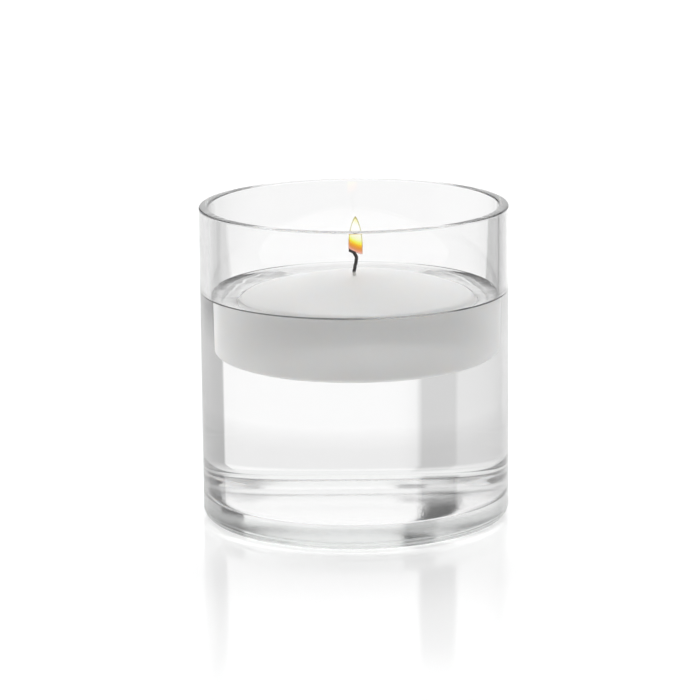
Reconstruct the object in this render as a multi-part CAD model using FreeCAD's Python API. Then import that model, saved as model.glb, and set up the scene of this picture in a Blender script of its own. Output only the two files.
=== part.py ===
import FreeCAD, Part
import math
import os

# Driving dimensions. Lengths are in millimetres and angles in degrees.

# Candle wax: a three inch floating candle, round in plan, with a soft dome
candle_diameter = 76.2
candle_foot_diameter = 75.6
candle_foot_round = 1.2
candle_draught = 20.5
candle_freeboard = 7.9
shoulder_round = 2.5
shoulder_drop = 1.0
melt_dish_diameter = 9.0
melt_dish_depth = 0.6

# Glass vessel: a straight cylinder with a heavy floor
side_room = 9.4
wall_thickness = 3.3
floor_thickness = 7.5
glass_above_water = 29.0
rim_round = 1.3
inner_corner_round = 4.0
heel_round = 3.5
foot_ring_width = 8.0
punt_depth = 0.9

# Water, and where the candle floats in it
water_under_candle = 47.0
water_gap = 0.2
float_gap = 0.2
candle_to_wall = 1.8
candle_drift_turn = 83.0

# Wick: a braided cotton cord whose bare end hooks over to the left
wick_diameter = 1.2
wick_fit = 0.05
wick_off_centre = 0.9
wick_lean = 12.0
wick_lean_radius = 6.0
wick_stem = 2.8
wick_hook_radius = 3.0
wick_hook_turn = 92.0

# Wick sustainer: the pressed tin disc and collar that hold the wick upright
tab_diameter = 14.0
tab_thickness = 0.4
tab_inset = 0.3
collar_diameter = 3.0
collar_height = 4.0
collar_flare_round = 0.8
sustainer_fit = 0.05

# Flame, which stands just over the hook of the wick
flame_width = 4.7
flame_height = 11.4
flame_belly_height = 2.2
flame_side_share = 0.58
flame_tip_share = 0.2
flame_slant = 20.0
flame_side = 0.5
flame_gap = 0.15

# Construction values
overrun = 2.0
same_place = 1.0e-6

# Sizes worked out from the driving dimensions
full_turn = math.degrees(2 * math.pi)
right_angle = full_turn / 4
candle_radius = candle_diameter / 2
foot_radius = candle_foot_diameter / 2
inner_radius = candle_radius + side_room
outer_radius = inner_radius + wall_thickness
candle_bottom = floor_thickness + water_under_candle
water_level = candle_bottom + candle_draught
candle_top = water_level + candle_freeboard
vessel_height = water_level + glass_above_water
wick_radius = wick_diameter / 2
wick_foot = candle_bottom + tab_inset
wick_leaves_wax = candle_top - melt_dish_depth


def place(x, z):
    """A point of an outline in the XZ plane."""
    return FreeCAD.Vector(x, 0, z)


def polar(centre, radius, angle):
    """The point of the XZ plane at a distance and an angle from a centre."""
    turn = math.radians(angle)
    return centre + place(radius * math.cos(turn), radius * math.sin(turn))


def arc(start, middle, end):
    """One edge through three points of a circle."""
    return Part.Arc(start, middle, end).toShape()


def line(start, end):
    """One straight edge."""
    return Part.LineSegment(start, end).toShape()


def cap_radius(half_width, depth):
    """The radius of the ball whose cap has this half width and depth."""
    return (half_width ** 2 + depth ** 2) / (2 * depth)


def rounded_edges(corners):
    """The edges of a closed outline, with an arc of the given round at each corner."""
    edges = []
    turns = []
    count = len(corners)
    for index, (x, z, radius) in enumerate(corners):
        here = place(x, z)
        back = (place(*corners[index - 1][:2]) - here).normalize()
        ahead = (place(*corners[(index + 1) % count][:2]) - here).normalize()
        half_angle = back.getAngle(ahead) / 2
        reach = radius / math.tan(half_angle)
        inward = (back + ahead).normalize()
        middle = here + inward * (radius / math.sin(half_angle) - radius)
        turns.append((here + back * reach, middle, here + ahead * reach, radius))
    for index, (start, middle, end, radius) in enumerate(turns):
        if radius > 0:
            edges.append(arc(start, middle, end))
        following = turns[(index + 1) % count][0]
        if end.distanceToPoint(following) > same_place:
            edges.append(line(end, following))
    return edges


def lathe(edges):
    """The solid that a closed outline beside the Z axis turns out."""
    face = Part.Face(Part.Wire(edges))
    return face.revolve(FreeCAD.Vector(), FreeCAD.Vector(0, 0, 1), full_turn)


def post(radius, low, high):
    """An upright round bar on the Z axis."""
    return Part.makeCylinder(radius, high - low, place(0, low))


def glass_vessel():
    """The cylinder with its rounded rim and heel, and the shallow hollow under its floor."""
    outline = [
        (0, 0, 0),
        (outer_radius, 0, heel_round),
        (outer_radius, vessel_height, rim_round),
        (inner_radius, vessel_height, rim_round),
        (inner_radius, floor_thickness, inner_corner_round),
        (0, floor_thickness, 0),
    ]
    punt_radius = outer_radius - heel_round - foot_ring_width
    punt_ball = cap_radius(punt_radius, punt_depth)
    punt = Part.makeSphere(punt_ball, place(0, punt_depth - punt_ball))
    return lathe(rounded_edges(outline)).cut(punt)


def side_tangent(low_centre, low_round, high_centre, high_round):
    """The two ends of the straight side that touches the foot's arc and the shoulder's arc."""
    run = high_centre - low_centre
    upward = math.degrees(math.atan2(run.z, run.x))
    closing = math.degrees(math.asin((low_round - high_round) / run.Length))
    facing = upward - right_angle + closing
    return polar(low_centre, low_round, facing), polar(high_centre, high_round, facing)


def wax_outline(grow):
    """The foot and side of the wax, made larger by grow, the shoulder's centre and the side's end."""
    foot_centre = place(foot_radius - candle_foot_round, candle_bottom + candle_foot_round)
    shoulder_centre = place(candle_radius - shoulder_round, water_level - shoulder_drop)
    low, high = side_tangent(
        foot_centre, candle_foot_round + grow, shoulder_centre, shoulder_round + grow
    )
    foot_start = foot_centre - place(0, candle_foot_round + grow)
    facing = math.degrees(math.atan2(low.z - foot_centre.z, low.x - foot_centre.x))
    foot_middle = polar(foot_centre, candle_foot_round + grow, (facing - right_angle) / 2)
    side = [
        line(place(0, foot_start.z), foot_start),
        arc(foot_start, foot_middle, low),
        line(low, high),
    ]
    return side, shoulder_centre, high


def wax_body():
    """The wax with its foot, tapered side, soft shoulder and dome."""
    side, shoulder_centre, high = wax_outline(0)
    rise = candle_top - shoulder_centre.z
    reach = shoulder_centre.x
    dome_radius = (reach ** 2 + rise ** 2 - shoulder_round ** 2) / (2 * (rise - shoulder_round))
    dome_centre = place(0, candle_top - dome_radius)
    lean = math.degrees(math.atan2(shoulder_centre.z - dome_centre.z, reach))
    facing = math.degrees(math.atan2(high.z - shoulder_centre.z, high.x - shoulder_centre.x))
    shoulder_end = polar(shoulder_centre, shoulder_round, lean)
    shoulder_middle = polar(shoulder_centre, shoulder_round, (lean + facing) / 2)
    dome_middle = polar(dome_centre, dome_radius, (lean + right_angle) / 2)
    crown = place(0, candle_top)
    edges = side + [
        arc(high, shoulder_middle, shoulder_end),
        arc(shoulder_end, dome_middle, crown),
        line(crown, place(0, candle_bottom)),
    ]
    return lathe(edges)


def at_wick(shape):
    """A copy of a shape moved from the candle's axis to the wick's own place in it."""
    return shape.translated(place(-wick_off_centre, 0))


def at_candle(shape):
    """A copy of a shape moved from the vessel's axis to where the candle has drifted."""
    drift = side_room - candle_to_wall
    turn = math.radians(candle_drift_turn)
    return shape.translated(FreeCAD.Vector(drift * math.cos(turn), -drift * math.sin(turn), 0))


def candle_wax():
    """The wax, with the dish melted round the wick and the holes for the wick and its sustainer."""
    dish_ball = cap_radius(melt_dish_diameter / 2, melt_dish_depth)
    dish = Part.makeSphere(dish_ball, place(0, candle_top - melt_dish_depth + dish_ball))
    wick_hole = post(wick_radius + wick_fit, wick_foot, candle_top + overrun)
    tab_recess = post(
        tab_diameter / 2 + sustainer_fit, candle_bottom - overrun, wick_foot + tab_thickness
    )
    seat = sustainer_solid(sustainer_fit)
    wax = wax_body()
    for cutter in (dish, wick_hole, tab_recess, seat):
        wax = wax.cut(at_wick(cutter))
    return at_candle(wax)


def sustainer_solid(grow):
    """The disc and collar without their bore, made larger by grow all round."""
    tab = tab_diameter / 2 + grow
    collar = collar_diameter / 2 + grow
    tab_face = wick_foot + tab_thickness + grow
    outline = [
        (0, wick_foot, 0),
        (tab, wick_foot, 0),
        (tab, tab_face, 0),
        (collar, tab_face, collar_flare_round - grow),
        (collar, wick_foot + collar_height + grow, 0),
        (0, wick_foot + collar_height + grow, 0),
    ]
    return lathe(rounded_edges(outline))


def wick_sustainer():
    """The disc under the wax with the collar that grips the wick."""
    bore = post(wick_radius + wick_fit, wick_foot - overrun, wick_foot + collar_height + overrun)
    return at_candle(at_wick(sustainer_solid(0).cut(bore)))


def bare_wick():
    """The centre and the end of the lean's arc, the end of the stem and the centre of the hook."""
    lean_centre = place(wick_lean_radius, wick_leaves_wax)
    lean_end = polar(lean_centre, wick_lean_radius, full_turn / 2 - wick_lean)
    stem_end = polar(lean_end, wick_stem, right_angle - wick_lean)
    hook = polar(stem_end, wick_hook_radius, full_turn / 2 - wick_lean)
    return lean_centre, lean_end, stem_end, hook


def wick():
    """The cotton cord, straight in the wax and then leaning and hooked over where it is bare."""
    lean_centre, lean_end, stem_end, hook = bare_wick()
    foot = place(0, wick_foot)
    leaves = place(0, wick_leaves_wax)
    lean_middle = polar(lean_centre, wick_lean_radius, full_turn / 2 - wick_lean / 2)
    hook_middle = polar(hook, wick_hook_radius, wick_hook_turn / 2 - wick_lean)
    tip = polar(hook, wick_hook_radius, wick_hook_turn - wick_lean)
    path = Part.Wire([
        line(foot, leaves),
        arc(leaves, lean_middle, lean_end),
        line(lean_end, stem_end),
        arc(stem_end, hook_middle, tip),
    ])
    section = Part.Wire(Part.makeCircle(wick_radius, foot, FreeCAD.Vector(0, 0, 1)))
    cord = path.makePipeShell([section], True, False)
    print("wick length", round(path.Length, 2), "volume", round(cord.Volume, 2),
          "section times length", round(math.pi * wick_radius ** 2 * path.Length, 2))
    return at_candle(at_wick(cord))


def flame():
    """The flame, a pointed drop cut off aslant just above the hook of the wick."""
    _, _, _, hook = bare_wick()
    slant = math.radians(flame_slant)
    reach = wick_hook_radius + wick_radius + flame_gap
    along = hook.x * math.sin(slant) + hook.z * math.cos(slant) + reach
    base = (along - flame_side * math.sin(slant)) / math.cos(slant)
    radius = flame_width / 2
    belly = base + flame_belly_height
    tip = place(0, base + flame_height)
    low = place(radius, base - flame_width)
    side = Part.BezierCurve()
    side.setPoles([
        place(radius, belly),
        place(radius, belly + (tip.z - belly) * flame_side_share),
        place(radius * flame_tip_share, tip.z),
        tip,
    ])
    edges = [
        line(place(0, low.z), low),
        line(low, place(radius, belly)),
        side.toShape(),
        line(tip, place(0, low.z)),
    ]
    size = flame_height + flame_width
    block = Part.makeBox(size, size, size)
    block.translate(FreeCAD.Vector(-size / 2, -size / 2, -size))
    block.rotate(FreeCAD.Vector(), FreeCAD.Vector(0, 1, 0), flame_slant)
    block.translate(place(0, base))
    drop = lathe(edges).cut(block)
    return at_candle(at_wick(drop.translated(place(flame_side, 0))))


def pocket():
    """The space that the candle and its float gap take up in the water."""
    side, shoulder_centre, high = wax_outline(float_gap)
    widest = place(candle_radius + float_gap, shoulder_centre.z)
    above = place(widest.x, water_level + overrun)
    facing = math.degrees(math.atan2(high.z - shoulder_centre.z, high.x - shoulder_centre.x))
    shoulder_middle = polar(shoulder_centre, shoulder_round + float_gap, facing / 2)
    edges = side + [
        arc(high, shoulder_middle, widest),
        line(widest, above),
        line(above, place(0, above.z)),
        line(place(0, above.z), place(0, candle_bottom - float_gap)),
    ]
    return lathe(edges)


def water_fill():
    """The water, up to its level, with the candle's pocket in it."""
    radius = inner_radius - water_gap
    floor = floor_thickness + water_gap
    outline = [
        (0, floor, 0),
        (radius, floor, inner_corner_round - water_gap),
        (radius, water_level, 0),
        (0, water_level, 0),
    ]
    return lathe(rounded_edges(outline)).cut(at_candle(pocket()))


def export(name, shape):
    """Writes one piece as its own file, after making sure that it is one sound solid."""
    solid = shape.Solids[0]
    print(name, "solids", len(shape.Solids), "valid", solid.isValid(),
          "mm3", round(solid.Volume, 1))
    solid.exportStep("parts/" + name + ".step")


os.makedirs("parts", exist_ok=True)
for make in (glass_vessel, water_fill, candle_wax, wick, wick_sustainer, flame):
    export(make.__name__, make())
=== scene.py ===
"""Looks of the floating candle bowl: clear glass, water, a white wax candle, its wick and its flame."""

import logging
import math
from dataclasses import dataclass
from enum import Enum, IntEnum
from typing import Callable, Iterable, NamedTuple, Optional, Sequence

import bmesh
import bpy
from mathutils import Matrix, Vector, noise


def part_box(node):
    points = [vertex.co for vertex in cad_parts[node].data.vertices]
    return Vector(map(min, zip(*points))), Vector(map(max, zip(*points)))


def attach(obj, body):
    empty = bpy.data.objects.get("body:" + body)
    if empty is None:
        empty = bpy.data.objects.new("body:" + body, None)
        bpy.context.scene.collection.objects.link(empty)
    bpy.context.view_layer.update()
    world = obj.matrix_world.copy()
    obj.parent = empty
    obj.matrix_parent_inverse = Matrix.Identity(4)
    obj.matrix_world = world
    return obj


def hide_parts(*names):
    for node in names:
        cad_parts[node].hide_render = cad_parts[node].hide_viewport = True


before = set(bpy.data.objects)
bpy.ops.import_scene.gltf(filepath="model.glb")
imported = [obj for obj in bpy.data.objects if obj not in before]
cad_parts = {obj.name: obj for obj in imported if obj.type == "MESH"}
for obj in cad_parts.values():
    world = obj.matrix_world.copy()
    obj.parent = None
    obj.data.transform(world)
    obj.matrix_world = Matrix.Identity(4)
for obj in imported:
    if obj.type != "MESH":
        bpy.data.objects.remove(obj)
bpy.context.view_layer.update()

LOG = logging.getLogger("candle_bowl")
MM = 0.001
TURN = 2 * math.pi
# The guard points of a straight run lie this far from its ends, or at this share of a short run.
GUARD = 0.04 * MM
GUARD_SHARE = 0.1
PHOTO_SIDE = 700
SENSOR_MM = 36.0
GLASS_IOR = 1.52
GLASS_IOR_IN_WATER = 1.14
WATER_IOR = 1.333
WHITE = (1.0, 1.0, 1.0, 1.0)
# Light Path's Diffuse Depth lies above this for light that is on its way to a matt surface.
ONE_BOUNCE = 0.5

Point = tuple[float, float]
Greys = tuple[tuple[float, float], ...]
Colours = tuple[tuple[float, str], ...]


class Body(str, Enum):
    """The bodies of the frame that a piece can ride on."""

    VESSEL = "vessel"
    WATER = "water"
    CANDLE = "candle"


class GlassSlot(IntEnum):
    """The finishes of the glass, in the order of its material slots."""

    DRY = 0
    WET = 1
    FOOT = 2
    THICK = 3


class WaterSlot(IntEnum):
    """The finishes of the water, in the order of its material slots."""

    TOP = 0
    SIDE = 1
    # The edge's finish carries painted shade: the dark line where the water meets the glass.
    EDGE = 2


def linear(code: str) -> tuple[float, float, float, float]:
    """Turns an sRGB hex colour to linear light.

    Args:
        code: Six hex digits after a hash mark.

    Returns:
        Red, green, blue and a full alpha.
    """
    shares = [int(code[i:i + 2], 16) / 255 for i in (1, 3, 5)]
    light = [s / 12.92 if s <= 0.04045 else ((s + 0.055) / 1.055) ** 2.4 for s in shares]
    return (*light, 1.0)


def add_node(
    tree: bpy.types.NodeTree,
    kind: str,
    settings: Optional[dict] = None,
    inputs: Optional[dict] = None,
) -> bpy.types.Node:
    """Adds one node with its settings and its inputs.

    Args:
        tree: The tree that the node goes in.
        kind: The node's type name.
        settings: Names and values of the node's own settings.
        inputs: Socket names or numbers, each with a value, the output that feeds it, or a node whose
            first output feeds it.

    Returns:
        The new node.
    """
    node = tree.nodes.new(kind)
    for name, value in (settings or {}).items():
        setattr(node, name, value)
    for key, value in (inputs or {}).items():
        source = value.outputs[0] if isinstance(value, bpy.types.Node) else value
        if isinstance(source, bpy.types.NodeSocket):
            tree.links.new(source, node.inputs[key])
        else:
            node.inputs[key].default_value = source
    return node


def set_ramp(node: bpy.types.Node, stops: Sequence[tuple[float, tuple]]) -> None:
    """Gives a colour ramp its stops.

    Args:
        node: The ramp's node.
        stops: Places from 0 to 1, each with a linear colour.
    """
    ramp = node.color_ramp
    ramp.elements[0].position, ramp.elements[1].position = stops[0][0], stops[-1][0]
    ramp.elements[0].color, ramp.elements[1].color = stops[0][1], stops[-1][1]
    for place, colour in stops[1:-1]:
        ramp.elements.new(place).color = colour


def grey_stops(greys: Greys, first: float, last: float) -> list[tuple[float, tuple]]:
    """Turns greys at places along a scale to the stops of a colour ramp.

    Args:
        greys: Places, each with its grey in linear light.
        first: The place at the ramp's start.
        last: The place at the ramp's end.

    Returns:
        Places from 0 to 1, each with a linear colour, in rising order.
    """
    return [((place - first) / (last - first), (g, g, g, 1.0)) for place, g in sorted(greys)]


def start_material(name: str) -> tuple[bpy.types.Material, bpy.types.NodeTree]:
    """Starts an empty node material.

    Args:
        name: The material's name.

    Returns:
        The material and its tree.
    """
    material = bpy.data.materials.new(name)
    material.use_nodes = True
    material.node_tree.nodes.clear()
    return material, material.node_tree


def arc_points(centre: Point, radius: float, start: float, end: float, count: int) -> list[Point]:
    """Points along an arc of an outline, both ends included.

    Args:
        centre: The arc's centre as (radius from the axis, height).
        radius: The arc's own radius.
        start: The angle of the first point, in degrees from outwards towards up.
        end: The angle of the last point.
        count: How many points.

    Returns:
        Points as (radius from the axis, height).
    """
    turns = [math.radians(start + (end - start) * i / (count - 1)) for i in range(count)]
    return [(centre[0] + radius * math.cos(t), centre[1] + radius * math.sin(t)) for t in turns]


def run_points(start: Point, end: Point, count: int) -> list[Point]:
    """Points along a straight run of an outline, without its two ends.

    The first and last lie close to the ends, so that a neighbouring arc's smooth normals stop there
    and don't bend the light in the straight wall.

    Args:
        start: The run's first end.
        end: Its other end.
        count: How many evenly spaced points lie between the two close ones.

    Returns:
        Points as (radius from the axis, height).
    """
    close = min(GUARD_SHARE, GUARD / max(math.dist(start, end), GUARD))
    shares = [close] + [i / (count + 1) for i in range(1, count + 1)] + [1 - close]
    return [tuple(a + (b - a) * share for a, b in zip(start, end)) for share in shares]


@dataclass
class Lathe:
    """A closed mesh turned about the Z axis from an outline that starts and ends on the axis."""

    outline: list[Point]
    segments: int = 384

    def mesh(
        self,
        name: str,
        place: Callable[[float, float, float], Vector],
        slot_of: Callable[[int], int] = lambda ring: 0,
        sharp_rings: Iterable[int] = (),
    ) -> bpy.types.Mesh:
        """Builds the mesh.

        Args:
            name: The mesh's name.
            place: Gives a point's place from its radius, height and turn about the axis.
            slot_of: Gives the material slot of the faces after a ring.
            sharp_rings: The rings whose edges stay sharp.

        Returns:
            A closed mesh with its faces pointing outwards.
        """
        build = bmesh.new()
        turns = [TURN * i / self.segments for i in range(self.segments)]
        first = build.verts.new(place(*self.outline[0], 0.0))
        last = build.verts.new(place(*self.outline[-1], 0.0))
        rings = [[build.verts.new(place(r, z, t)) for t in turns] for r, z in self.outline[1:-1]]
        for i in range(self.segments):
            j = (i + 1) % self.segments
            corners = [(first, rings[0][i], rings[0][j])]
            corners += [(a[i], b[i], b[j], a[j]) for a, b in zip(rings, rings[1:])]
            corners.append((rings[-1][i], last, rings[-1][j]))
            for ring, around in enumerate(corners):
                build.faces.new(around).material_index = slot_of(ring)
        for ring in sharp_rings:
            for i in range(self.segments):
                pair = (rings[ring - 1][i], rings[ring - 1][(i + 1) % self.segments])
                build.edges.get(pair).smooth = False
        for face in build.faces:
            face.smooth = True
        bmesh.ops.recalc_face_normals(build, faces=build.faces)
        mesh = bpy.data.meshes.new(name)
        build.to_mesh(mesh)
        build.free()
        return mesh


def show(
    mesh: bpy.types.Mesh,
    body: Body,
    materials: Sequence[bpy.types.Material],
    replaced: Sequence[str] = (),
) -> bpy.types.Object:
    """Puts a finished mesh in the scene as a piece that rides on a body.

    Args:
        mesh: The finished mesh, in the frame's own place.
        body: The body that it rides on.
        materials: The piece's materials, in slot order.
        replaced: The nodes that it stands for.

    Returns:
        The new object.
    """
    piece = bpy.data.objects.new(mesh.name, mesh)
    bpy.context.scene.collection.objects.link(piece)
    if mesh.materials:
        mesh.materials.clear()
    for material in materials:
        mesh.materials.append(material)
    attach(piece, body.value)
    if replaced:
        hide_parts(*replaced)
    LOG.info("%s: %d faces, rides on %s", piece.name, len(mesh.polygons), body.value)
    return piece


@dataclass(frozen=True)
class PressedFoot:
    """The underside of pressed glass: clear, with the fine orange-peel texture that the mould leaves."""

    name: str = "soda_lime_glass_pressed_foot"
    dimple_mm: float = 0.8
    depth_mm: float = 0.03

    def material(self) -> bpy.types.Material:
        """Makes the material.

        Returns:
            The material, which breaks what shows through the foot into small specks.
        """
        material, tree = start_material(self.name)
        place = add_node(tree, "ShaderNodeTexCoord").outputs["Object"]
        dimples = add_node(tree, "ShaderNodeTexNoise", inputs={
            "Vector": place, "Scale": 1 / (self.dimple_mm * MM), "Detail": 2.0,
        })
        bump = add_node(tree, "ShaderNodeBump", inputs={"Distance": self.depth_mm * MM, "Height": dimples})
        shader = add_node(tree, "ShaderNodeBsdfPrincipled", inputs={
            "Base Color": WHITE, "Roughness": 0.0, "IOR": GLASS_IOR, "Transmission Weight": 1.0,
            "Normal": bump,
        })
        add_node(tree, "ShaderNodeOutputMaterial", inputs={"Surface": shader})
        return material


@dataclass(frozen=True)
class WaterEdgePaintedShade:
    """The thin rim where water climbs the glass, with painted shade: a dark tint on the near side stands in
    for the dark line that the light bent away there makes.
    """

    name: str = "water_edge_painted_shade"
    # Painted shade: the dark colour, and how much of it lies at each place along X in mm, from 0 for none to
    # 1 for full.
    colour: str = "#262626"
    stretches: Greys = (
        (-51.0, 1.0), (-44.0, 0.95), (-30.0, 0.75), (-5.0, 0.75), (2.0, 0.6), (6.0, 0.3), (28.0, 0.35),
        (33.0, 0.95), (51.0, 1.0),
    )
    reach_back_mm: float = 12.0

    def material(self) -> bpy.types.Material:
        """Makes the material.

        Returns:
            The material, painted dark as shade in some stretches of the near side, and clear elsewhere.
        """
        material, tree = start_material(self.name)
        place = add_node(tree, "ShaderNodeTexCoord").outputs["Object"]
        parts = add_node(tree, "ShaderNodeSeparateXYZ", inputs={0: place})
        first, last = self.stretches[0][0], self.stretches[-1][0]
        across = add_node(tree, "ShaderNodeMapRange", inputs={
            "Value": parts.outputs["X"], "From Min": first * MM, "From Max": last * MM,
        })
        along = add_node(tree, "ShaderNodeValToRGB", inputs={0: across})
        set_ramp(along, grey_stops(self.stretches, first, last))
        # The painted shade is full on the near side and fades out towards the back over reach_back_mm.
        near = add_node(tree, "ShaderNodeMapRange", inputs={
            "Value": parts.outputs["Y"], "From Min": self.reach_back_mm * MM, "From Max": 0.0,
        })
        dark = add_node(tree, "ShaderNodeMath", {"operation": "MULTIPLY"}, {0: along, 1: near})
        clear = add_node(tree, "ShaderNodeMath", {"operation": "SUBTRACT"}, {0: 1.0, 1: dark})
        # The dark tint is painted shade; where it is full, the surface lets no light through.
        tint = add_node(tree, "ShaderNodeMix", {"data_type": "RGBA"}, {
            0: clear, 6: linear(self.colour), 7: WHITE,
        })
        shader = add_node(tree, "ShaderNodeBsdfPrincipled", inputs={
            "Base Color": tint.outputs[2], "Roughness": 0.0, "IOR": WATER_IOR, "Transmission Weight": clear,
        })
        add_node(tree, "ShaderNodeOutputMaterial", inputs={"Surface": shader})
        return material


@dataclass(frozen=True)
class ClearSurface:
    """Polished glass or still water: clear, with a hard gloss, and bending light by its index."""

    name: str
    ior: float
    tint: str = "#FFFFFF"

    def material(self) -> bpy.types.Material:
        """Makes the material.

        Returns:
            The material, a plain refracting surface of the given index.
        """
        material, tree = start_material(self.name)
        shader = add_node(tree, "ShaderNodeBsdfPrincipled", inputs={
            "Base Color": linear(self.tint), "Roughness": 0.0, "IOR": self.ior, "Transmission Weight": 1.0,
        })
        add_node(tree, "ShaderNodeOutputMaterial", inputs={"Surface": shader})
        return material


@dataclass(frozen=True)
class MouldedWax:
    """White paraffin wax, moulded and pressed: a soft satin skin that lets light a little way in."""

    name: str = "paraffin_wax_moulded"
    colour: str = "#F4F4F3"
    shade: str = "#EDEDEC"
    ior: float = 1.44
    grain_mm: float = 1.4
    grain_depth_mm: float = 0.03
    grain_strength: float = 0.12
    cloud_mm: float = 12.0
    roughness: float = 0.42
    light_share: float = 0.6
    light_reach: tuple[float, float, float] = (1.0, 0.9, 0.8)
    light_depth_mm: float = 1.6

    def material(self) -> bpy.types.Material:
        """Makes the material.

        Returns:
            The material, with faint clouds of colour and a fine pressed grain.
        """
        material, tree = start_material(self.name)
        place = add_node(tree, "ShaderNodeTexCoord").outputs["Object"]
        cloud = add_node(tree, "ShaderNodeTexNoise", inputs={
            "Vector": place, "Scale": 1 / (self.cloud_mm * MM), "Detail": 3.0,
        })
        colour = add_node(tree, "ShaderNodeMix", {"data_type": "RGBA"}, {
            0: cloud, 6: linear(self.shade), 7: linear(self.colour),
        })
        grain = add_node(tree, "ShaderNodeTexNoise", inputs={
            "Vector": place, "Scale": 1 / (self.grain_mm * MM), "Detail": 4.0,
        })
        bump = add_node(tree, "ShaderNodeBump", inputs={
            "Strength": self.grain_strength, "Distance": self.grain_depth_mm * MM, "Height": grain,
        })
        shader = add_node(tree, "ShaderNodeBsdfPrincipled", inputs={
            "Base Color": colour.outputs[2],
            "Roughness": self.roughness,
            "IOR": self.ior,
            "Subsurface Weight": self.light_share,
            "Subsurface Radius": self.light_reach,
            "Subsurface Scale": self.light_depth_mm * MM,
            "Normal": bump,
        })
        add_node(tree, "ShaderNodeOutputMaterial", inputs={"Surface": shader})
        return material


class GlassOutline(NamedTuple):
    """The outline of the glass, with the rings at which its finish or its shading changes."""

    points: list[Point]
    crease: int
    foot_end: int
    thick_end: int
    wet_start: int


@dataclass
class GlassVessel:
    """The straight glass cylinder with its rounded rim, heavy floor and shallow hollow foot."""

    wall: float = 3.3 * MM
    floor: float = 7.5 * MM
    rim_round: float = 0.6 * MM
    inner_round: float = 2.6 * MM
    heel_round: float = 3.5 * MM
    foot_ring: float = 8.0 * MM
    punt_depth: float = 0.9 * MM
    wave_height: float = 0.03 * MM
    wave_length: float = 22.0 * MM
    near_wall: float = 0.9
    punt_points: int = 20
    foot_points: int = 3
    heel_points: int = 12
    thick_points: int = 2
    wall_points: int = 30
    rim_points: int = 9
    dry_points: int = 10
    corner_points: int = 14
    floor_points: int = 20

    def __post_init__(self) -> None:
        """Takes the outer sizes from the frame."""
        low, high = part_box("glass_vessel")
        self.radius = min(high.x, high.y, -low.x, -low.y)
        self.height = high.z
        self.inner = self.radius - self.wall

    def outline(self, wet_line: float) -> GlassOutline:
        """Works out the outline, with one ring just where the water's edge climbs to.

        Args:
            wet_line: The height of the water's edge on the glass.

        Returns:
            The outline from under the floor round to its top, and its special rings.
        """
        foot_in = self.radius - self.heel_round - self.foot_ring
        ball = (foot_in ** 2 + self.punt_depth ** 2) / (2 * self.punt_depth)
        heel = (self.radius - self.heel_round, self.heel_round)
        rim_out = (self.radius - self.rim_round, self.height - self.rim_round)
        rim_in = (self.inner + self.rim_round, self.height - self.rim_round)
        corner = (self.inner - self.inner_round, self.floor + self.inner_round)
        points = []
        for i in range(self.punt_points):
            r = foot_in * i / self.punt_points
            points.append((r, math.sqrt(ball ** 2 - r ** 2) - ball + self.punt_depth))
        crease = len(points)
        points += [(foot_in, 0.0)] + run_points((foot_in, 0.0), (heel[0], 0.0), self.foot_points)
        foot_end = len(points)
        points += arc_points(heel, self.heel_round, -90, 0, self.heel_points)
        points += run_points((self.radius, heel[1]), (self.radius, self.floor), self.thick_points)
        thick_end = len(points)
        points += [(self.radius, self.floor)]
        points += run_points((self.radius, self.floor), (self.radius, rim_out[1]), self.wall_points)
        points += arc_points(rim_out, self.rim_round, 0, 90, self.rim_points)
        points += arc_points(rim_in, self.rim_round, 90, 180, self.rim_points)
        points += run_points((self.inner, rim_in[1]), (self.inner, wet_line), self.dry_points)
        wet_start = len(points)
        points.append((self.inner, wet_line))
        points += run_points((self.inner, wet_line), (self.inner, corner[1]), self.wall_points)
        points += arc_points(corner, self.inner_round, 0, -90, self.corner_points)
        points += run_points((corner[0], self.floor), (0.0, self.floor), self.floor_points)
        return GlassOutline(points + [(0.0, self.floor)], crease, foot_end, thick_end, wet_start)

    def ripple(self, r: float, z: float, t: float) -> Vector:
        """Places a point of the outline, with the slow waves of hand-polished glass on its inside.

        Args:
            r: The point's distance from the axis.
            z: Its height.
            t: Its turn about the axis.

        Returns:
            The point's place.
        """
        inside = r < self.radius - self.wall * self.near_wall and z > self.floor * self.near_wall
        if inside and r >= self.inner * self.near_wall:
            spot = Vector((math.cos(t) * self.inner, math.sin(t) * self.inner, z)) / self.wave_length
            r += noise.noise(spot) * self.wave_height
        return Vector((r * math.cos(t), r * math.sin(t), z))

    def build(self, wet_line: float) -> bpy.types.Object:
        """Builds the glass with a dry and a wet finish.

        Args:
            wet_line: The height of the water's edge on the glass.

        Returns:
            The finished piece.
        """
        outline = self.outline(wet_line)

        def slot_of(ring: int) -> GlassSlot:
            """Chooses the finish of the faces after a ring.

            Args:
                ring: The ring's number along the outline.

            Returns:
                The material slot.
            """
            if ring < outline.foot_end:
                return GlassSlot.FOOT
            if ring < outline.thick_end:
                return GlassSlot.THICK
            return GlassSlot.WET if ring >= outline.wet_start else GlassSlot.DRY

        mesh = Lathe(outline.points).mesh("glass_cylinder", self.ripple, slot_of, [outline.crease])
        finishes = {
            GlassSlot.DRY: ClearSurface("soda_lime_glass_polished", GLASS_IOR),
            GlassSlot.WET: ClearSurface("soda_lime_glass_against_water", GLASS_IOR_IN_WATER),
            GlassSlot.FOOT: PressedFoot(),
            GlassSlot.THICK: ClearSurface("soda_lime_glass_thick_base", GLASS_IOR, "#EBEDEC"),
        }
        materials = [finishes[slot].material() for slot in GlassSlot]
        return show(mesh, Body.VESSEL, materials, ["glass_vessel"])


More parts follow.
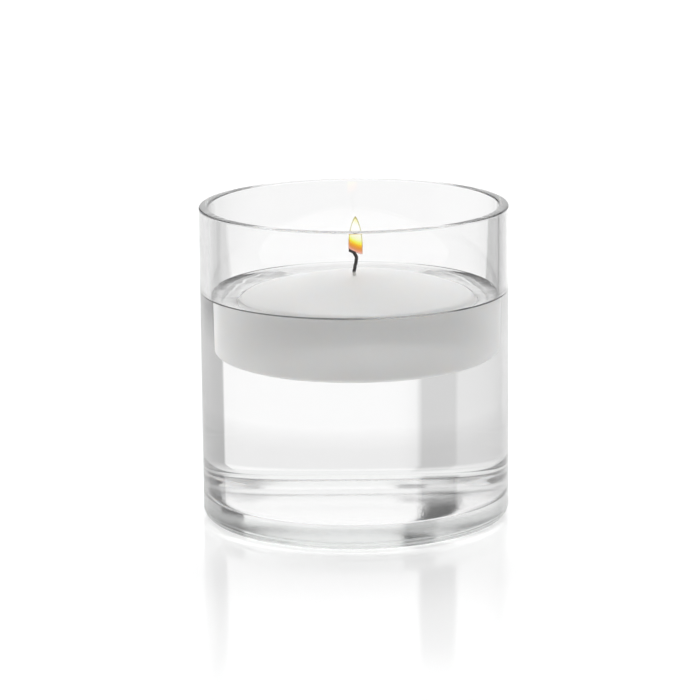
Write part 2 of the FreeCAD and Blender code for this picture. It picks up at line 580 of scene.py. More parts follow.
@dataclass
class WaxBody:
    """The wax of the candle: a foot with rounded edge, a tapered side, a soft shoulder and a dome."""

    foot_radius: float = 37.8 * MM
    foot_round: float = 1.2 * MM
    shoulder_round: float = 2.5 * MM
    shoulder_drop: float = 1.0 * MM
    dish_radius: float = 4.5 * MM
    dish_depth: float = 0.35 * MM
    dish_blend: float = 0.25 * MM
    wick_offset: float = -0.9 * MM
    wave_height: float = 0.12 * MM
    wave_length: float = 24.0 * MM
    sag: float = 0.45 * MM
    sag_reach: float = 14.0 * MM
    foot_points: int = 14
    edge_points: int = 12
    side_points: int = 10
    dome_points: int = 60
    segments: int = 256

    def __post_init__(self) -> None:
        """Takes the wax's place and outer sizes from the frame."""
        low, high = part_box("candle_wax")
        self.radius = (high.y - low.y) / 2
        self.centre = (low + high).xy.to_3d() / 2
        self.bottom, self.top = low.z, high.z

    def outline(self, shoulder_height: float) -> list[Point]:
        """Works out the outline from under the foot to the crown.

        Args:
            shoulder_height: The height of the widest ring.

        Returns:
            The outline.
        """
        foot = (self.foot_radius - self.foot_round, self.bottom + self.foot_round)
        shoulder = (self.radius - self.shoulder_round, shoulder_height)
        rise = self.top - shoulder[1]
        ball = (shoulder[0] ** 2 + rise ** 2 - self.shoulder_round ** 2) / (
            2 * (rise - self.shoulder_round)
        )
        lean = math.degrees(math.atan2(shoulder[1] - (self.top - ball), shoulder[0]))
        run = math.hypot(shoulder[0] - foot[0], shoulder[1] - foot[1])
        upward = math.degrees(math.atan2(shoulder[1] - foot[1], shoulder[0] - foot[0]))
        facing = upward - 90 + math.degrees(math.asin((self.foot_round - self.shoulder_round) / run))
        points = [(0.0, self.bottom)]
        points += run_points(points[0], (foot[0], self.bottom), self.foot_points)
        points += arc_points(foot, self.foot_round, -90, facing, self.edge_points)
        side_end = arc_points(shoulder, self.shoulder_round, facing, lean, self.edge_points)
        points += run_points(points[-1], side_end[0], self.side_points) + side_end
        dish_ball = (self.dish_radius ** 2 + self.dish_depth ** 2) / (2 * self.dish_depth)
        dish_floor = self.top - self.dish_depth
        for r, z in arc_points((0.0, self.top - ball), ball, lean, 90, self.dome_points)[1:]:
            reach = min(abs(r), dish_ball)
            dish = dish_floor + dish_ball - math.sqrt(dish_ball ** 2 - reach ** 2)
            both = math.exp(-z / self.dish_blend) + math.exp(-dish / self.dish_blend)
            points.append((max(r, 0.0), -self.dish_blend * math.log(both)))
        points[-1] = (0.0, points[-1][1])
        return points

    def build(self, water_level: float) -> bpy.types.Object:
        """Builds the wax.

        Args:
            water_level: The height of the still water round it.

        Returns:
            The finished piece.
        """
        shoulder_height = water_level - self.shoulder_drop

        def ripple(r: float, z: float, t: float) -> Vector:
            """Places a point of the outline, with the wick's offset near the axis and faint unevenness.

            Args:
                r: The point's distance from the candle's axis.
                z: Its height.
                t: Its turn about the axis.

            Returns:
                The point's place.
            """
            spot = Vector((r * math.cos(t), r * math.sin(t), z))
            pull = max(0.0, 1 - r / (self.radius / 2))
            spot.x += self.wick_offset * pull * pull * (3 - 2 * pull)
            wave = noise.noise(spot / self.wave_length) * self.wave_height
            if z > shoulder_height:
                across = math.tanh(spot.x / self.sag_reach) - 1
                spot.z += self.sag * across * max(0.0, 1 - (r / self.radius) ** 2)
            return spot * (1 - abs(wave) / self.radius) + self.centre

        mesh = Lathe(self.outline(shoulder_height), self.segments).mesh("wax_body", ripple)
        return show(mesh, Body.CANDLE, [MouldedWax().material()], ["candle_wax"])


@dataclass
class WaterBody:
    """The still water, with the curved edge that climbs the glass and the one that meets the wax."""

    climb: float = 0.9 * MM
    wax_climb: float = 0.6 * MM
    reach: float = 1.6 * MM
    # edge_line and edge_height: how far the painted shade of the dark edge line reaches over the top and down
    # the side.
    edge_line: float = 0.9 * MM
    edge_height: float = 0.42 * MM
    overlap: float = 0.04 * MM
    swell_height: float = 0.08 * MM
    swell_length: float = 4.5 * MM
    floor_points: int = 6
    corner_points: int = 10
    side_points: int = 8
    top_points: int = 90
    crowding: float = 1.8

    def __post_init__(self) -> None:
        """Takes the water's level from the frame."""
        self.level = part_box("water_fill")[1].z

    @property
    def wet_line(self) -> float:
        """The height that the water's edge climbs to on the glass."""
        return self.level + self.climb

    def build(self, vessel: GlassVessel, wax: WaxBody) -> bpy.types.Object:
        """Builds the water inside the glass.

        Args:
            vessel: The glass that holds it.
            wax: The wax that floats in it.

        Returns:
            The finished piece.
        """
        radius = vessel.inner + self.overlap
        corner = vessel.inner_round + self.overlap
        floor = vessel.floor - self.overlap
        points = [(0.0, floor)] + run_points((0.0, floor), (radius - corner, floor), self.floor_points)
        points += arc_points((radius - corner, floor + corner), corner, -90, 0, self.corner_points)
        line_foot = self.wet_line - self.edge_height
        points += run_points((radius, floor + corner), (radius, line_foot), self.side_points)
        line_start = len(points)
        points.append((radius, line_foot))
        top_start = len(points)
        line_end = top_start + int(self.top_points * (self.edge_line / radius) ** (1 / self.crowding))
        for i in range(self.top_points):
            share = (i / self.top_points) ** self.crowding
            points.append((radius * (1 - share), self.level))
        points.append((0.0, self.level))

        def surface(r: float, z: float, t: float) -> Vector:
            """Places a point of the outline, with the curved edges and the faint swell on the top.

            Args:
                r: The point's distance from the axis.
                z: Its height.
                t: Its turn about the axis.

            Returns:
                The point's place.
            """
            spot = Vector((r * math.cos(t), r * math.sin(t), z))
            if z == self.level:
                from_glass = max(0.0, vessel.inner - r) / self.reach
                to_wax = (spot - wax.centre).xy.length - wax.radius
                spot.z += self.climb * math.exp(-from_glass)
                spot.z += self.wax_climb * math.exp(-abs(to_wax) / self.reach)
                spot.z += self.swell_height * min(1.0, from_glass) * noise.noise(spot / self.swell_length)
            return spot

        def slot_of(ring: int) -> WaterSlot:
            """Chooses the finish of the faces after a ring.

            Args:
                ring: The ring's number along the outline.

            Returns:
                The material slot.
            """
            if ring < line_start:
                return WaterSlot.SIDE
            return WaterSlot.EDGE if ring < line_end else WaterSlot.TOP

        mesh = Lathe(points).mesh("water_body", surface, slot_of, [top_start])
        finishes = {
            WaterSlot.TOP: ClearSurface("still_water_surface", WATER_IOR),
            WaterSlot.SIDE: ClearSurface("water_against_glass", 1.0),
            WaterSlot.EDGE: WaterEdgePaintedShade(),
        }
        return show(mesh, Body.WATER, [finishes[s].material() for s in WaterSlot], ["water_fill"])


@dataclass(frozen=True)
class CharredCotton:
    """Braided cotton, waxed and burnt: matt black soot where it is bare, pale and waxy at its foot."""

    name: str = "braided_cotton_charred"
    soot: str = "#060505"
    ember: str = "#1E1512"
    waxed: str = "#E9E7E2"
    roughness: float = 0.8
    speckle_mm: float = 0.25
    fade_mm: float = 0.35

    def material(self, char_height: float) -> bpy.types.Material:
        """Makes the material.

        Args:
            char_height: The height at which the waxed cotton turns black.

        Returns:
            The material, black with faint brown specks over a pale foot.
        """
        material, tree = start_material(self.name)
        place = add_node(tree, "ShaderNodeTexCoord").outputs["Object"]
        speck = add_node(tree, "ShaderNodeTexNoise", inputs={
            "Vector": place, "Scale": 1 / (self.speckle_mm * MM), "Detail": 3.0,
        })
        burnt = add_node(tree, "ShaderNodeMix", {"data_type": "RGBA"}, {
            0: speck, 6: linear(self.soot), 7: linear(self.ember),
        })
        height = add_node(tree, "ShaderNodeSeparateXYZ", inputs={0: place})
        burn = add_node(tree, "ShaderNodeMapRange", inputs={
            "Value": height.outputs["Z"],
            "From Min": char_height - self.fade_mm * MM, "From Max": char_height + self.fade_mm * MM,
        })
        colour = add_node(tree, "ShaderNodeMix", {"data_type": "RGBA"}, {
            0: burn, 6: linear(self.waxed), 7: burnt.outputs[2],
        })
        shader = add_node(tree, "ShaderNodeBsdfPrincipled", inputs={
            "Base Color": colour.outputs[2], "Roughness": self.roughness,
        })
        add_node(tree, "ShaderNodeOutputMaterial", inputs={"Surface": shader})
        return material


@dataclass
class Wick:
    """The braided cotton wick: straight in the wax, then leaning and hooked over to the left."""

    radius: float = 0.6 * MM
    lean: float = 12.0
    lean_radius: float = 6.0 * MM
    lean_steps: int = 8
    stem: float = 2.8 * MM
    hook_radius: float = 3.0 * MM
    hook_turn: float = 92.0
    hook_steps: int = 32
    waxed_height: float = 0.25 * MM
    braid_pitch: float = 1.9 * MM
    braid_relief: float = 0.16 * MM
    strands: int = 3
    samples: int = 420
    around: int = 36
    cap_share: float = 0.98

    def __post_init__(self) -> None:
        """Takes the wick's place from the frame: it stands on the axis of its sustainer."""
        low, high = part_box("wick_sustainer")
        self.axis = (low + high).xy.to_3d() / 2
        self.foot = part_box("wick")[0].z
        self.leaves_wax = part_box("candle_wax")[1].z

    def route(self) -> list[Vector]:
        """Works out the cord's middle line.

        Returns:
            Points from the foot to the bare tip.
        """
        start = self.leaves_wax
        points = [Vector((0.0, 0.0, z)) for z in (self.foot, (self.foot + start) / 2, start)]
        for i in range(1, self.lean_steps + 1):
            turn = math.radians(self.lean * i / self.lean_steps)
            points.append(Vector((
                self.lean_radius * (1 - math.cos(turn)), 0.0, start + self.lean_radius * math.sin(turn)
            )))
        lean = math.radians(self.lean)
        stem_end = points[-1] + Vector((math.sin(lean), 0.0, math.cos(lean))) * self.stem
        centre = stem_end + Vector((-math.cos(lean), 0.0, math.sin(lean))) * self.hook_radius
        points.append(stem_end)
        for i in range(1, self.hook_steps + 1):
            turn = math.radians(self.hook_turn * i / self.hook_steps - self.lean)
            points.append(centre + Vector((math.cos(turn), 0.0, math.sin(turn))) * self.hook_radius)
        return [p + self.axis for p in points]

    def braid_tree(self) -> bpy.types.NodeTree:
        """Builds the node tree that lays a braided cord along a line.

        Returns:
            The tree, with its sizes as named inputs.
        """
        tree = bpy.data.node_groups.new("braided_cord", "GeometryNodeTree")
        sockets = {
            "Geometry": "NodeSocketGeometry", "Cord Radius": "NodeSocketFloat",
            "Braid Pitch": "NodeSocketFloat", "Braid Relief": "NodeSocketFloat",
            "Strands": "NodeSocketFloat", "Samples": "NodeSocketInt", "Around": "NodeSocketInt",
            "Material": "NodeSocketMaterial",
        }
        for name, kind in sockets.items():
            tree.interface.new_socket(name, in_out="INPUT", socket_type=kind)
        tree.interface.new_socket("Geometry", in_out="OUTPUT", socket_type="NodeSocketGeometry")
        given = add_node(tree, "NodeGroupInput").outputs
        line = add_node(tree, "GeometryNodeMeshToCurve", inputs={0: given["Geometry"]})
        even = add_node(tree, "GeometryNodeResampleCurve", inputs={"Curve": line, "Count": given["Samples"]})
        along = add_node(tree, "GeometryNodeSplineParameter").outputs
        length = add_node(tree, "GeometryNodeSplineLength").outputs["Length"]
        left = add_node(tree, "ShaderNodeMath", {"operation": "SUBTRACT"}, {0: length, 1: along["Length"]})
        share = add_node(tree, "ShaderNodeMath", {"operation": "DIVIDE"}, {0: left, 1: given["Cord Radius"]})
        inside = add_node(tree, "ShaderNodeMath", {"operation": "SUBTRACT"}, {0: 1.0, 1: share})
        capped = add_node(tree, "ShaderNodeClamp", inputs={
            "Value": inside, "Min": 0.0, "Max": self.cap_share,
        })
        square = add_node(tree, "ShaderNodeMath", {"operation": "POWER"}, {0: capped, 1: 2.0})
        rest = add_node(tree, "ShaderNodeMath", {"operation": "SUBTRACT"}, {0: 1.0, 1: square})
        rounded = add_node(tree, "ShaderNodeMath", {"operation": "SQRT"}, {0: rest})
        tapered = add_node(tree, "GeometryNodeSetCurveRadius", inputs={"Curve": even, "Radius": rounded})
        keep_length = add_node(tree, "GeometryNodeCaptureAttribute", {"domain": "POINT"})
        keep_length.capture_items.new("FLOAT", "along")
        tree.links.new(tapered.outputs[0], keep_length.inputs["Geometry"])
        tree.links.new(along["Length"], keep_length.inputs["along"])
        circle = add_node(tree, "GeometryNodeCurvePrimitiveCircle", inputs={
            "Resolution": given["Around"], "Radius": given["Cord Radius"],
        })
        turn = add_node(tree, "GeometryNodeSplineParameter")
        keep_turn = add_node(tree, "GeometryNodeCaptureAttribute", {"domain": "POINT"})
        keep_turn.capture_items.new("FLOAT", "turn")
        tree.links.new(circle.outputs[0], keep_turn.inputs["Geometry"])
        tree.links.new(turn.outputs["Factor"], keep_turn.inputs["turn"])
        cord = add_node(tree, "GeometryNodeCurveToMesh", inputs={
            "Curve": keep_length.outputs["Geometry"], "Profile Curve": keep_turn.outputs["Geometry"],
            "Fill Caps": True,
        })
        round_share = add_node(tree, "ShaderNodeMath", {"operation": "MULTIPLY"}, {
            0: keep_turn.outputs["turn"], 1: given["Strands"],
        })
        length_share = add_node(tree, "ShaderNodeMath", {"operation": "DIVIDE"}, {
            0: keep_length.outputs["along"], 1: given["Braid Pitch"],
        })
        ridges = []
        for way in ("ADD", "SUBTRACT"):
            both = add_node(tree, "ShaderNodeMath", {"operation": way}, {0: round_share, 1: length_share})
            phase = add_node(tree, "ShaderNodeMath", {"operation": "MULTIPLY"}, {0: both, 1: math.pi})
            wave = add_node(tree, "ShaderNodeMath", {"operation": "SINE"}, {0: phase})
            ridges.append(add_node(tree, "ShaderNodeMath", {"operation": "ABSOLUTE"}, {0: wave}))
        ridge = add_node(tree, "ShaderNodeMath", {"operation": "MAXIMUM"}, {0: ridges[0], 1: ridges[1]})
        hollow = add_node(tree, "ShaderNodeMath", {"operation": "SUBTRACT"}, {0: ridge, 1: 1.0})
        depth = add_node(tree, "ShaderNodeMath", {"operation": "MULTIPLY"}, {
            0: hollow, 1: given["Braid Relief"],
        })
        normal = add_node(tree, "GeometryNodeInputNormal")
        offset = add_node(tree, "ShaderNodeVectorMath", {"operation": "SCALE"}, {0: normal, "Scale": depth})
        laid = add_node(tree, "GeometryNodeSetPosition", inputs={"Geometry": cord, "Offset": offset})
        real = add_node(tree, "GeometryNodeRealizeInstances", inputs={0: laid})
        dressed = add_node(tree, "GeometryNodeSetMaterial", inputs={
            "Geometry": real, "Material": given["Material"],
        })
        add_node(tree, "NodeGroupOutput", inputs={0: dressed})
        return tree

    def build(self) -> bpy.types.Object:
        """Builds the wick.

        Returns:
            The finished piece.
        """
        material = CharredCotton().material(self.leaves_wax + self.waxed_height)
        route = self.route()
        line = bpy.data.meshes.new("wick_line")
        line.from_pydata(route, [(i, i + 1) for i in range(len(route) - 1)], [])
        carrier = bpy.data.objects.new("wick_line", line)
        bpy.context.scene.collection.objects.link(carrier)
        tree = self.braid_tree()
        values = {
            "Cord Radius": self.radius, "Braid Pitch": self.braid_pitch,
            "Braid Relief": self.braid_relief, "Strands": float(self.strands),
            "Samples": self.samples, "Around": self.around, "Material": material,
        }
        modifier = carrier.modifiers.new("braided_cord", "NODES")
        modifier.node_group = tree
        for item in tree.interface.items_tree:
            if item.in_out == "INPUT" and item.name in values:
                modifier[item.identifier] = values[item.name]
        graph = bpy.context.evaluated_depsgraph_get()
        mesh = bpy.data.meshes.new_from_object(carrier.evaluated_get(graph))
        mesh.name = "wick_braid"
        bpy.data.objects.remove(carrier)
        for face in mesh.polygons:
            face.use_smooth = True
        return show(mesh, Body.CANDLE, [material], ["wick"])


@dataclass(frozen=True)
class FlameGlow:
    """Burning wax vapour: white heart, yellow to orange foot, and a thin olive skin that dims what is behind.

    The colours are given at heights in mm above the slanted foot of the flame.
    """

    slant: float = 24.0
    core_stops: Colours = (
        (0.0, "#F0C4B8"), (0.5, "#EBA08B"), (0.9, "#E99771"), (1.3, "#E2924B"), (1.7, "#E7952F"),
        (2.1, "#F0A013"), (2.5, "#F5B307"), (2.8, "#F7C607"), (3.1, "#F8DA1A"), (3.4, "#F9ED43"),
        (3.8, "#F9FB6C"), (4.4, "#F6FDB7"), (5.1, "#FFFED3"), (6.8, "#FFFFFA"), (8.3, "#FFFFFF"),
        (9.2, "#FFFFF3"), (10.4, "#FFFBBB"), (11.2, "#FFFFA0"), (12.0, "#FFF680"),
    )
    skin_stops: Colours = (
        (0.0, "#E6C6BC"), (1.8, "#D2A080"), (2.8, "#CFA65C"), (4.2, "#D6C772"), (6.5, "#DEDCBE"),
        (9.0, "#DCDAB0"), (11.0, "#C5BE88"), (12.2, "#978D50"),
    )
    height_mm: float = 12.6
    skin_passes: int = 2

    def rising(self, tree: bpy.types.NodeTree, low_middle: Vector, stops: Colours) -> bpy.types.Node:
        """Adds a colour ramp that rises square to the slanted foot of the flame.

        Args:
            tree: The material's tree.
            low_middle: The middle of the flame's foot.
            stops: Heights in mm, each with a colour.

        Returns:
            The ramp.
        """
        slope = math.tan(math.radians(self.slant))
        place = add_node(tree, "ShaderNodeTexCoord").outputs["Object"]
        parts = add_node(tree, "ShaderNodeSeparateXYZ", inputs={0: place})
        across = add_node(tree, "ShaderNodeMath", {"operation": "MULTIPLY_ADD"}, {
            0: parts.outputs["X"], 1: slope, 2: -low_middle.x * slope - low_middle.z,
        })
        height = add_node(tree, "ShaderNodeMath", {"operation": "ADD"}, {0: parts.outputs["Z"], 1: across})
        share = add_node(tree, "ShaderNodeMath", {"operation": "DIVIDE"}, {0: height, 1: self.height_mm * MM})
        ramp = add_node(tree, "ShaderNodeValToRGB", inputs={0: share})
        set_ramp(ramp, [(h / self.height_mm, linear(c)) for h, c in stops])
        return ramp

    def thin_skin(self, tree: bpy.types.NodeTree, low_middle: Vector) -> bpy.types.Node:
        """Adds the colour of the skin for one of the times that light passes it.

        Args:
            tree: The material's tree.
            low_middle: The middle of the flame's foot.

        Returns:
            The node whose output is the colour.
        """
        skin = self.rising(tree, low_middle, self.skin_stops)
        return add_node(tree, "ShaderNodeGamma", inputs={"Color": skin, "Gamma": 1 / self.skin_passes})

    def core(self, low_middle: Vector) -> bpy.types.Material:
        """Makes the material of the core.

        Args:
            low_middle: The middle of the flame's foot.

        Returns:
            The glowing core, evened out for the skin in front of it.
        """
        material, tree = start_material("flame_glow")
        glow = add_node(tree, "ShaderNodeVectorMath", {"operation": "DIVIDE"}, {
            0: self.rising(tree, low_middle, self.core_stops), 1: self.thin_skin(tree, low_middle),
        })
        shader = add_node(tree, "ShaderNodeEmission", inputs={"Color": glow})
        add_node(tree, "ShaderNodeOutputMaterial", inputs={"Surface": shader})
        return material

    def skin(self, low_middle: Vector) -> bpy.types.Material:
        """Makes the material of the skin.

        Args:
            low_middle: The middle of the flame's foot.

        Returns:
            The thin outer skin, clear with a tint.
        """
        material, tree = start_material("flame_skin")
        tint = self.thin_skin(tree, low_middle)
        shader = add_node(tree, "ShaderNodeBsdfTransparent", inputs={"Color": tint})
        add_node(tree, "ShaderNodeOutputMaterial", inputs={"Surface": shader})
        return material


@dataclass
class Flame:
    """The flame: a pointed drop cut off aslant over the wick, with a core inside a thin skin."""

    belly_height: float = 2.2 * MM
    side_share: float = 0.58
    tip_share: float = 0.2
    cut_slant: float = 20.0
    skin: float = 0.32 * MM
    tip_skin: float = 0.75 * MM
    foot_points: int = 8
    upright_points: int = 4
    side_points: int = 40
    segments: int = 96

    def __post_init__(self) -> None:
        """Takes the flame's place and size from the frame."""
        low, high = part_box("flame")
        self.slope = math.tan(math.radians(self.cut_slant))
        self.radius = (high.y - low.y) / 2
        self.middle = Vector(((low.x + high.x) / 2, (low.y + high.y) / 2, 0.0))
        self.middle.z = low.z + self.radius * self.slope
        self.tip = high.z

    def drop(self, name: str, inset: float, tip_inset: float) -> bpy.types.Mesh:
        """Builds one closed drop.

        Args:
            name: The mesh's name.
            inset: How far its side and foot lie inside the flame's own.
            tip_inset: How far its tip lies below the flame's own.

        Returns:
            The mesh.
        """
        radius, tip = self.radius - inset, self.tip - tip_inset
        foot, belly = self.middle.z + inset, self.middle.z + self.belly_height
        poles = [
            (radius, belly), (radius, belly + (tip - belly) * self.side_share),
            (radius * self.tip_share, tip), (0.0, tip),
        ]
        outline = [(radius * i / self.foot_points, foot) for i in range(self.foot_points)]
        outline += [(radius, foot)] + run_points((radius, foot), (radius, belly), self.upright_points)
        for i in range(self.side_points + 1):
            t = i / self.side_points
            weights = ((1 - t) ** 3, 3 * t * (1 - t) ** 2, 3 * t * t * (1 - t), t ** 3)
            outline.append(tuple(sum(w * p[k] for w, p in zip(weights, poles)) for k in (0, 1)))
        outline[-1] = (0.0, tip)

        def slanted(r: float, z: float, t: float) -> Vector:
            """Places a point of the outline, with the foot cut off aslant.

            Args:
                r: The point's distance from the flame's middle.
                z: Its height.
                t: Its turn about the middle.

            Returns:
                The point's place.
            """
            low = max(0.0, 1 - (z - foot) / (belly - foot))
            x = r * math.cos(t)
            return Vector((self.middle.x + x, self.middle.y + r * math.sin(t), z - x * self.slope * low))

        return Lathe(outline, self.segments).mesh(name, slanted)

    def build(self) -> None:
        """Builds the core and the skin round it."""
        glow = FlameGlow()
        core = self.drop("flame_core", self.skin, self.tip_skin)
        skin = self.drop("flame_envelope", 0.0, 0.0)
        show(core, Body.CANDLE, [glow.core(self.middle)])
        show(skin, Body.CANDLE, [glow.skin(self.middle)], ["flame"])


@dataclass(frozen=True)
class Tinplate:
    """Pressed tinplate: bright grey metal with a fine rolled grain."""

    name: str = "tinplate_pressed"
    colour: str = "#C9C9C6"
    grain_mm: float = 0.2
    smooth: float = 0.25
    rough: float = 0.45

    def material(self) -> bpy.types.Material:
        """Makes the material.

        Returns:
            The material, metal with a little unevenness in its gloss.
        """
        material, tree = start_material(self.name)
        place = add_node(tree, "ShaderNodeTexCoord").outputs["Object"]
        grain = add_node(tree, "ShaderNodeTexNoise", inputs={
            "Vector": place, "Scale": 1 / (self.grain_mm * MM), "Detail": 2.0,
        })
        gloss = add_node(tree, "ShaderNodeMapRange", inputs={
            "Value": grain, "To Min": self.smooth, "To Max": self.rough,
        })
        shader = add_node(tree, "ShaderNodeBsdfPrincipled", inputs={
            "Base Color": linear(self.colour), "Metallic": 1.0, "Roughness": gloss,
        })
        add_node(tree, "ShaderNodeOutputMaterial", inputs={"Surface": shader})
        return material


class WickSustainer:
    """The tinplate disc and collar that hold the wick, shown as the frame's own solid."""

    def dress(self) -> None:
        """Gives the solid its finish."""
        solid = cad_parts["wick_sustainer"]
        solid.data.materials.clear()
        solid.data.materials.append(Tinplate().material())
        LOG.info("wick_sustainer: the frame's own solid, dressed")


class Rise(NamedTuple):
    """A share that rises along one axis of a direction in the room."""

    use: str
    axis: str
    start: float
    end: float
    low: float = 0.0
    high: float = 1.0
    curve: str = "LINEAR"


@dataclass(frozen=True)
class WhiteRoom:
    """The white room round the table: what glass and gloss see of it, and what lights the wax.

    Each wall has greys by angle in degrees to the right of straight ahead. Its two narrow dark
    stretches show in the foot of the glass.
    """

    sides: Greys = (
        (-180, 0.85), (-145, 0.8), (-115, 0.42), (-95, 0.55), (85, 0.44), (115, 0.42), (145, 0.8),
        (180, 0.85),
    )
    low_wall: Greys = (
        (-60, 0.74), (-22, 0.8), (-21.6, 0.66), (-11.8, 0.66), (-11.4, 0.94), (-8, 1.0), (35.6, 1.0),
        (36.4, 0.5), (51.5, 0.5), (52.5, 0.46),
    )
    mid_wall: Greys = (
        (-60, 0.74), (-22, 0.8), (-21.6, 0.66), (-11.8, 0.66), (-11.4, 0.94), (-8, 1.0), (16.5, 1.0),
        (17.5, 0.6), (35.6, 0.6), (36.4, 0.5), (51.5, 0.5), (52.5, 0.46),
    )
    high_wall: Greys = (
        (-60, 0.8), (-22, 0.95), (-21.6, 0.1), (-11.8, 0.1), (-11.4, 1.0), (35.6, 1.0), (36.4, 0.1),
        (51.5, 0.1), (52.5, 0.46),
    )
    rises: tuple[Rise, ...] = (
        Rise("mid wall", "Z", -0.06, -0.04),
        Rise("high wall", "Z", 0.09, 0.11),
        Rise("overhead", "Z", 0.6, 0.8),
        Rise("underfoot", "Z", -0.3, -0.5),
        Rise("behind the camera", "Y", -0.3, -0.5),
        Rise("back lamp", "Y", 0.0, 0.6, high=2.6, curve="SMOOTHSTEP"),
        Rise("back lamp's height", "Z", -0.15, 0.1, low=0.4),
        Rise("front lamp", "Y", 0.0, -0.6, high=0.8),
        Rise("front lamp's height", "Z", 0.3, 0.0),
    )
    light_all_round: float = 0.12
    grey_behind_camera: float = 0.3

    def build(self) -> None:
        """Builds the room as the scene's world."""
        world = bpy.data.worlds.new("white_room")
        world.use_nodes = True
        tree = world.node_tree
        tree.nodes.clear()
        bpy.context.scene.world = world
        path = add_node(tree, "ShaderNodeLightPath").outputs
        ray = add_node(tree, "ShaderNodeTexCoord").outputs["Generated"]
        parts = add_node(tree, "ShaderNodeSeparateXYZ", inputs={0: ray})
        azimuth = add_node(tree, "ShaderNodeMath", {"operation": "ARCTAN2"}, {
            0: parts.outputs["X"], 1: parts.outputs["Y"],
        })
        round_share = add_node(tree, "ShaderNodeMapRange", inputs={
            "Value": azimuth, "From Min": -math.pi, "From Max": math.pi,
        })
        walls = []
        for front in (self.low_wall, self.mid_wall, self.high_wall):
            walls.append(add_node(tree, "ShaderNodeValToRGB", inputs={0: round_share}))
            set_ramp(walls[-1], grey_stops(self.sides + front, -180, 180))
        share = {
            rise.use: add_node(tree, "ShaderNodeMapRange", {"interpolation_type": rise.curve}, {
                "Value": parts.outputs[rise.axis], "From Min": rise.start, "From Max": rise.end,
                "To Min": rise.low, "To Max": rise.high,
            })
            for rise in self.rises
        }
        paler = add_node(tree, "ShaderNodeMath", {"operation": "MAXIMUM"}, {
            0: share["overhead"], 1: share["underfoot"],
        })
        dimmed = add_node(tree, "ShaderNodeMath", {"operation": "MULTIPLY"}, {
            0: share["behind the camera"], 1: path["Is Glossy Ray"],
        })
        back = add_node(tree, "ShaderNodeMath", {"operation": "MULTIPLY_ADD"}, {
            0: share["back lamp"], 1: share["back lamp's height"], 2: self.light_all_round,
        })
        lamp = add_node(tree, "ShaderNodeMath", {"operation": "MULTIPLY_ADD"}, {
            0: share["front lamp"], 1: share["front lamp's height"], 2: back,
        })
        lamp_colour = add_node(tree, "ShaderNodeCombineColor", inputs={0: lamp, 1: lamp, 2: lamp})
        bounced = add_node(tree, "ShaderNodeMath", {"operation": "GREATER_THAN"}, {
            0: path["Diffuse Depth"], 1: ONE_BOUNCE,
        })
        seen = walls[0].outputs[0]
        for amount, over in (
            (share["mid wall"], walls[1]),
            (share["high wall"], walls[2]),
            (paler, WHITE),
            (dimmed, (*[self.grey_behind_camera] * 3, 1.0)),
            (bounced, lamp_colour),
            (path["Is Camera Ray"], WHITE),
        ):
            layer = add_node(tree, "ShaderNodeMix", {"data_type": "RGBA"}, {0: amount, 6: seen, 7: over})
            seen = layer.outputs[2]
        shine = add_node(tree, "ShaderNodeBackground", inputs={"Color": seen})
        add_node(tree, "ShaderNodeOutputWorld", inputs={0: shine})


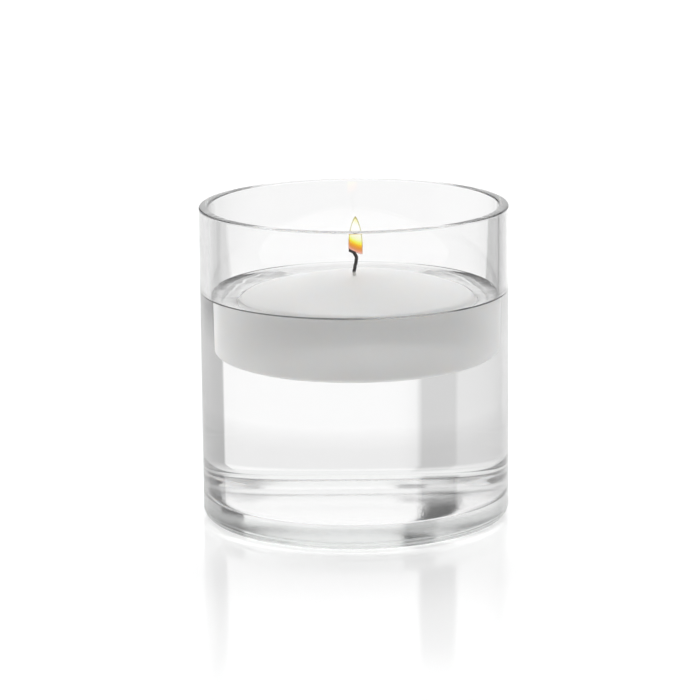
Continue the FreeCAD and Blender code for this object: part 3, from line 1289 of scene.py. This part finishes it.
@dataclass
class WhiteTable:
    """The glossy white table, which glass sees through to the white room beyond.

    Its shades by distance stand for the soft shadow round the foot, and those by angle, in degrees to
    the right of straight ahead, for what lies beyond. Under the foot it is plain white.
    """

    drop: float = 0.05 * MM
    radius: float = 4.0
    segments: int = 64
    colour: str = "#F4F4F4"
    roughness: float = 0.12
    ior: float = 1.45
    glow: float = 0.24
    near_reach_mm: float = 200.0
    near: Greys = (
        (0, 1.0), (70, 1.0), (78, 0.86), (108, 0.87), (125, 0.92), (145, 1.0), (180, 1.0),
    )
    far_angle: float = 60.0
    far: Greys = (
        (-60, 0.9), (-25, 0.9), (-24, 0.8), (-14.5, 0.8), (-13.5, 1.0), (16.8, 1.0), (17.4, 0.6),
        (60, 0.55),
    )
    far_from: float = 0.25
    far_to: float = 0.32
    foot_edge: float = 48.0 * MM
    foot_full: float = 46.0 * MM
    foot_white: float = 0.95

    def material(self) -> bpy.types.Material:
        """Makes the material.

        Returns:
            Acrylic sheet: white and glossy to the eye, and clear with a shade to light through glass.
        """
        material, tree = start_material("white_acrylic_sheet")
        path = add_node(tree, "ShaderNodeLightPath").outputs
        body = add_node(tree, "ShaderNodeBsdfPrincipled", inputs={
            "Base Color": linear(self.colour), "Roughness": self.roughness, "IOR": self.ior,
            "Emission Color": WHITE, "Emission Strength": self.glow,
        })
        place = add_node(tree, "ShaderNodeTexCoord").outputs["Object"]
        reach = add_node(tree, "ShaderNodeVectorMath", {"operation": "LENGTH"}, {0: place}).outputs["Value"]
        nearness = add_node(tree, "ShaderNodeMapRange", inputs={
            "Value": reach, "From Max": self.near_reach_mm * MM,
        })
        shade = add_node(tree, "ShaderNodeValToRGB", inputs={0: nearness})
        set_ramp(shade, grey_stops(self.near, 0, self.near_reach_mm))
        parts = add_node(tree, "ShaderNodeSeparateXYZ", inputs={0: place})
        azimuth = add_node(tree, "ShaderNodeMath", {"operation": "ARCTAN2"}, {
            0: parts.outputs["X"], 1: parts.outputs["Y"],
        })
        side = add_node(tree, "ShaderNodeMapRange", inputs={
            "Value": azimuth,
            "From Min": -math.radians(self.far_angle), "From Max": math.radians(self.far_angle),
        })
        beyond = add_node(tree, "ShaderNodeValToRGB", inputs={0: side})
        set_ramp(beyond, grey_stops(self.far, -self.far_angle, self.far_angle))
        farness = add_node(tree, "ShaderNodeMapRange", inputs={
            "Value": reach, "From Min": self.far_from, "From Max": self.far_to,
        })
        tint = add_node(tree, "ShaderNodeMix", {"data_type": "RGBA"}, {0: farness, 6: shade, 7: beyond})
        bounced = add_node(tree, "ShaderNodeMath", {"operation": "GREATER_THAN"}, {
            0: path["Diffuse Depth"], 1: ONE_BOUNCE,
        })
        seen = add_node(tree, "ShaderNodeMix", {"data_type": "RGBA"}, {
            0: bounced, 6: tint.outputs[2], 7: WHITE,
        })
        clear = add_node(tree, "ShaderNodeBsdfTransparent", inputs={"Color": seen.outputs[2]})
        covered = add_node(tree, "ShaderNodeMapRange", inputs={
            "Value": reach, "From Min": self.foot_edge, "From Max": self.foot_full,
        })
        lit = add_node(tree, "ShaderNodeEmission", inputs={
            "Color": linear(self.colour), "Strength": self.foot_white,
        })
        under = add_node(tree, "ShaderNodeMixShader", inputs={0: covered, 1: clear, 2: lit})
        shader = add_node(tree, "ShaderNodeMixShader", inputs={
            0: path["Is Transmission Ray"], 1: body, 2: under,
        })
        add_node(tree, "ShaderNodeOutputMaterial", inputs={"Surface": shader})
        return material

    def build(self) -> None:
        """Builds the table top as part of the stage."""
        mesh = bpy.data.meshes.new("white_table")
        build = bmesh.new()
        bmesh.ops.create_circle(build, cap_ends=True, radius=self.radius, segments=self.segments)
        build.to_mesh(mesh)
        build.free()
        mesh.transform(Matrix.Translation((0.0, 0.0, -self.drop)))
        mesh.materials.append(self.material())
        table = bpy.data.objects.new("white_table", mesh)
        bpy.context.scene.collection.objects.link(table)


@dataclass
class Studio:
    """The room, the table, and the camera at the photograph's own angle and distance."""

    distance: float = 1.2
    elevation: float = 12.62
    focal_px: float = 3627.0
    roll: float = -0.5
    aim_right_px: float = -4.91
    aim_up_px: float = 12.56
    aim_height: float = 50.8 * MM
    bounces: int = 24
    glossy_bounces: int = 16

    def camera(self) -> None:
        """Makes the camera."""
        tilt, roll = math.radians(self.elevation), math.radians(self.roll)
        ahead = Vector((0.0, math.cos(tilt), -math.sin(tilt)))
        across = Vector((1.0, 0.0, 0.0))
        upward = across.cross(ahead)
        place = Vector((0.0, 0.0, self.aim_height)) - ahead * self.distance
        right = across * math.cos(roll) + upward * math.sin(roll)
        up = upward * math.cos(roll) - across * math.sin(roll)
        turn_right = self.aim_right_px / self.focal_px
        turn_up = self.aim_up_px / self.focal_px
        view = (ahead + right * turn_right + up * turn_up).normalized()
        side = view.cross(up).normalized()
        axes = Matrix((side, side.cross(view), -view)).transposed()
        data = bpy.data.cameras.new("photo_camera")
        data.sensor_width = SENSOR_MM
        data.lens = self.focal_px * SENSOR_MM / PHOTO_SIDE
        camera = bpy.data.objects.new("photo_camera", data)
        camera.matrix_world = Matrix.Translation(place) @ axes.to_4x4()
        bpy.context.scene.collection.objects.link(camera)
        bpy.context.scene.camera = camera

    def build(self) -> None:
        """Builds the room, the table and the camera, and sets the plain view transform."""
        scene = bpy.context.scene
        scene.view_settings.view_transform = "Standard"
        scene.cycles.max_bounces = self.bounces
        scene.cycles.glossy_bounces = self.glossy_bounces
        scene.cycles.transmission_bounces = self.bounces
        scene.cycles.transparent_max_bounces = self.bounces
        scene.cycles.caustics_reflective = True
        scene.cycles.caustics_refractive = True
        scene.cycles.blur_glossy = 0.0
        self.camera()
        WhiteRoom().build()
        WhiteTable().build()


def main() -> None:
    """Builds the pieces in order: the room, the glass, the candle's wax, the water, wick and flame."""
    logging.basicConfig(level=logging.INFO, format="%(name)s %(message)s")
    Studio().build()
    water = WaterBody()
    wax = WaxBody()
    vessel = GlassVessel()
    vessel.build(water.wet_line)
    wax.build(water.level)
    water.build(vessel, wax)
    Wick().build()
    Flame().build()
    WickSustainer().dress()


if __name__ == "__main__":
    main()
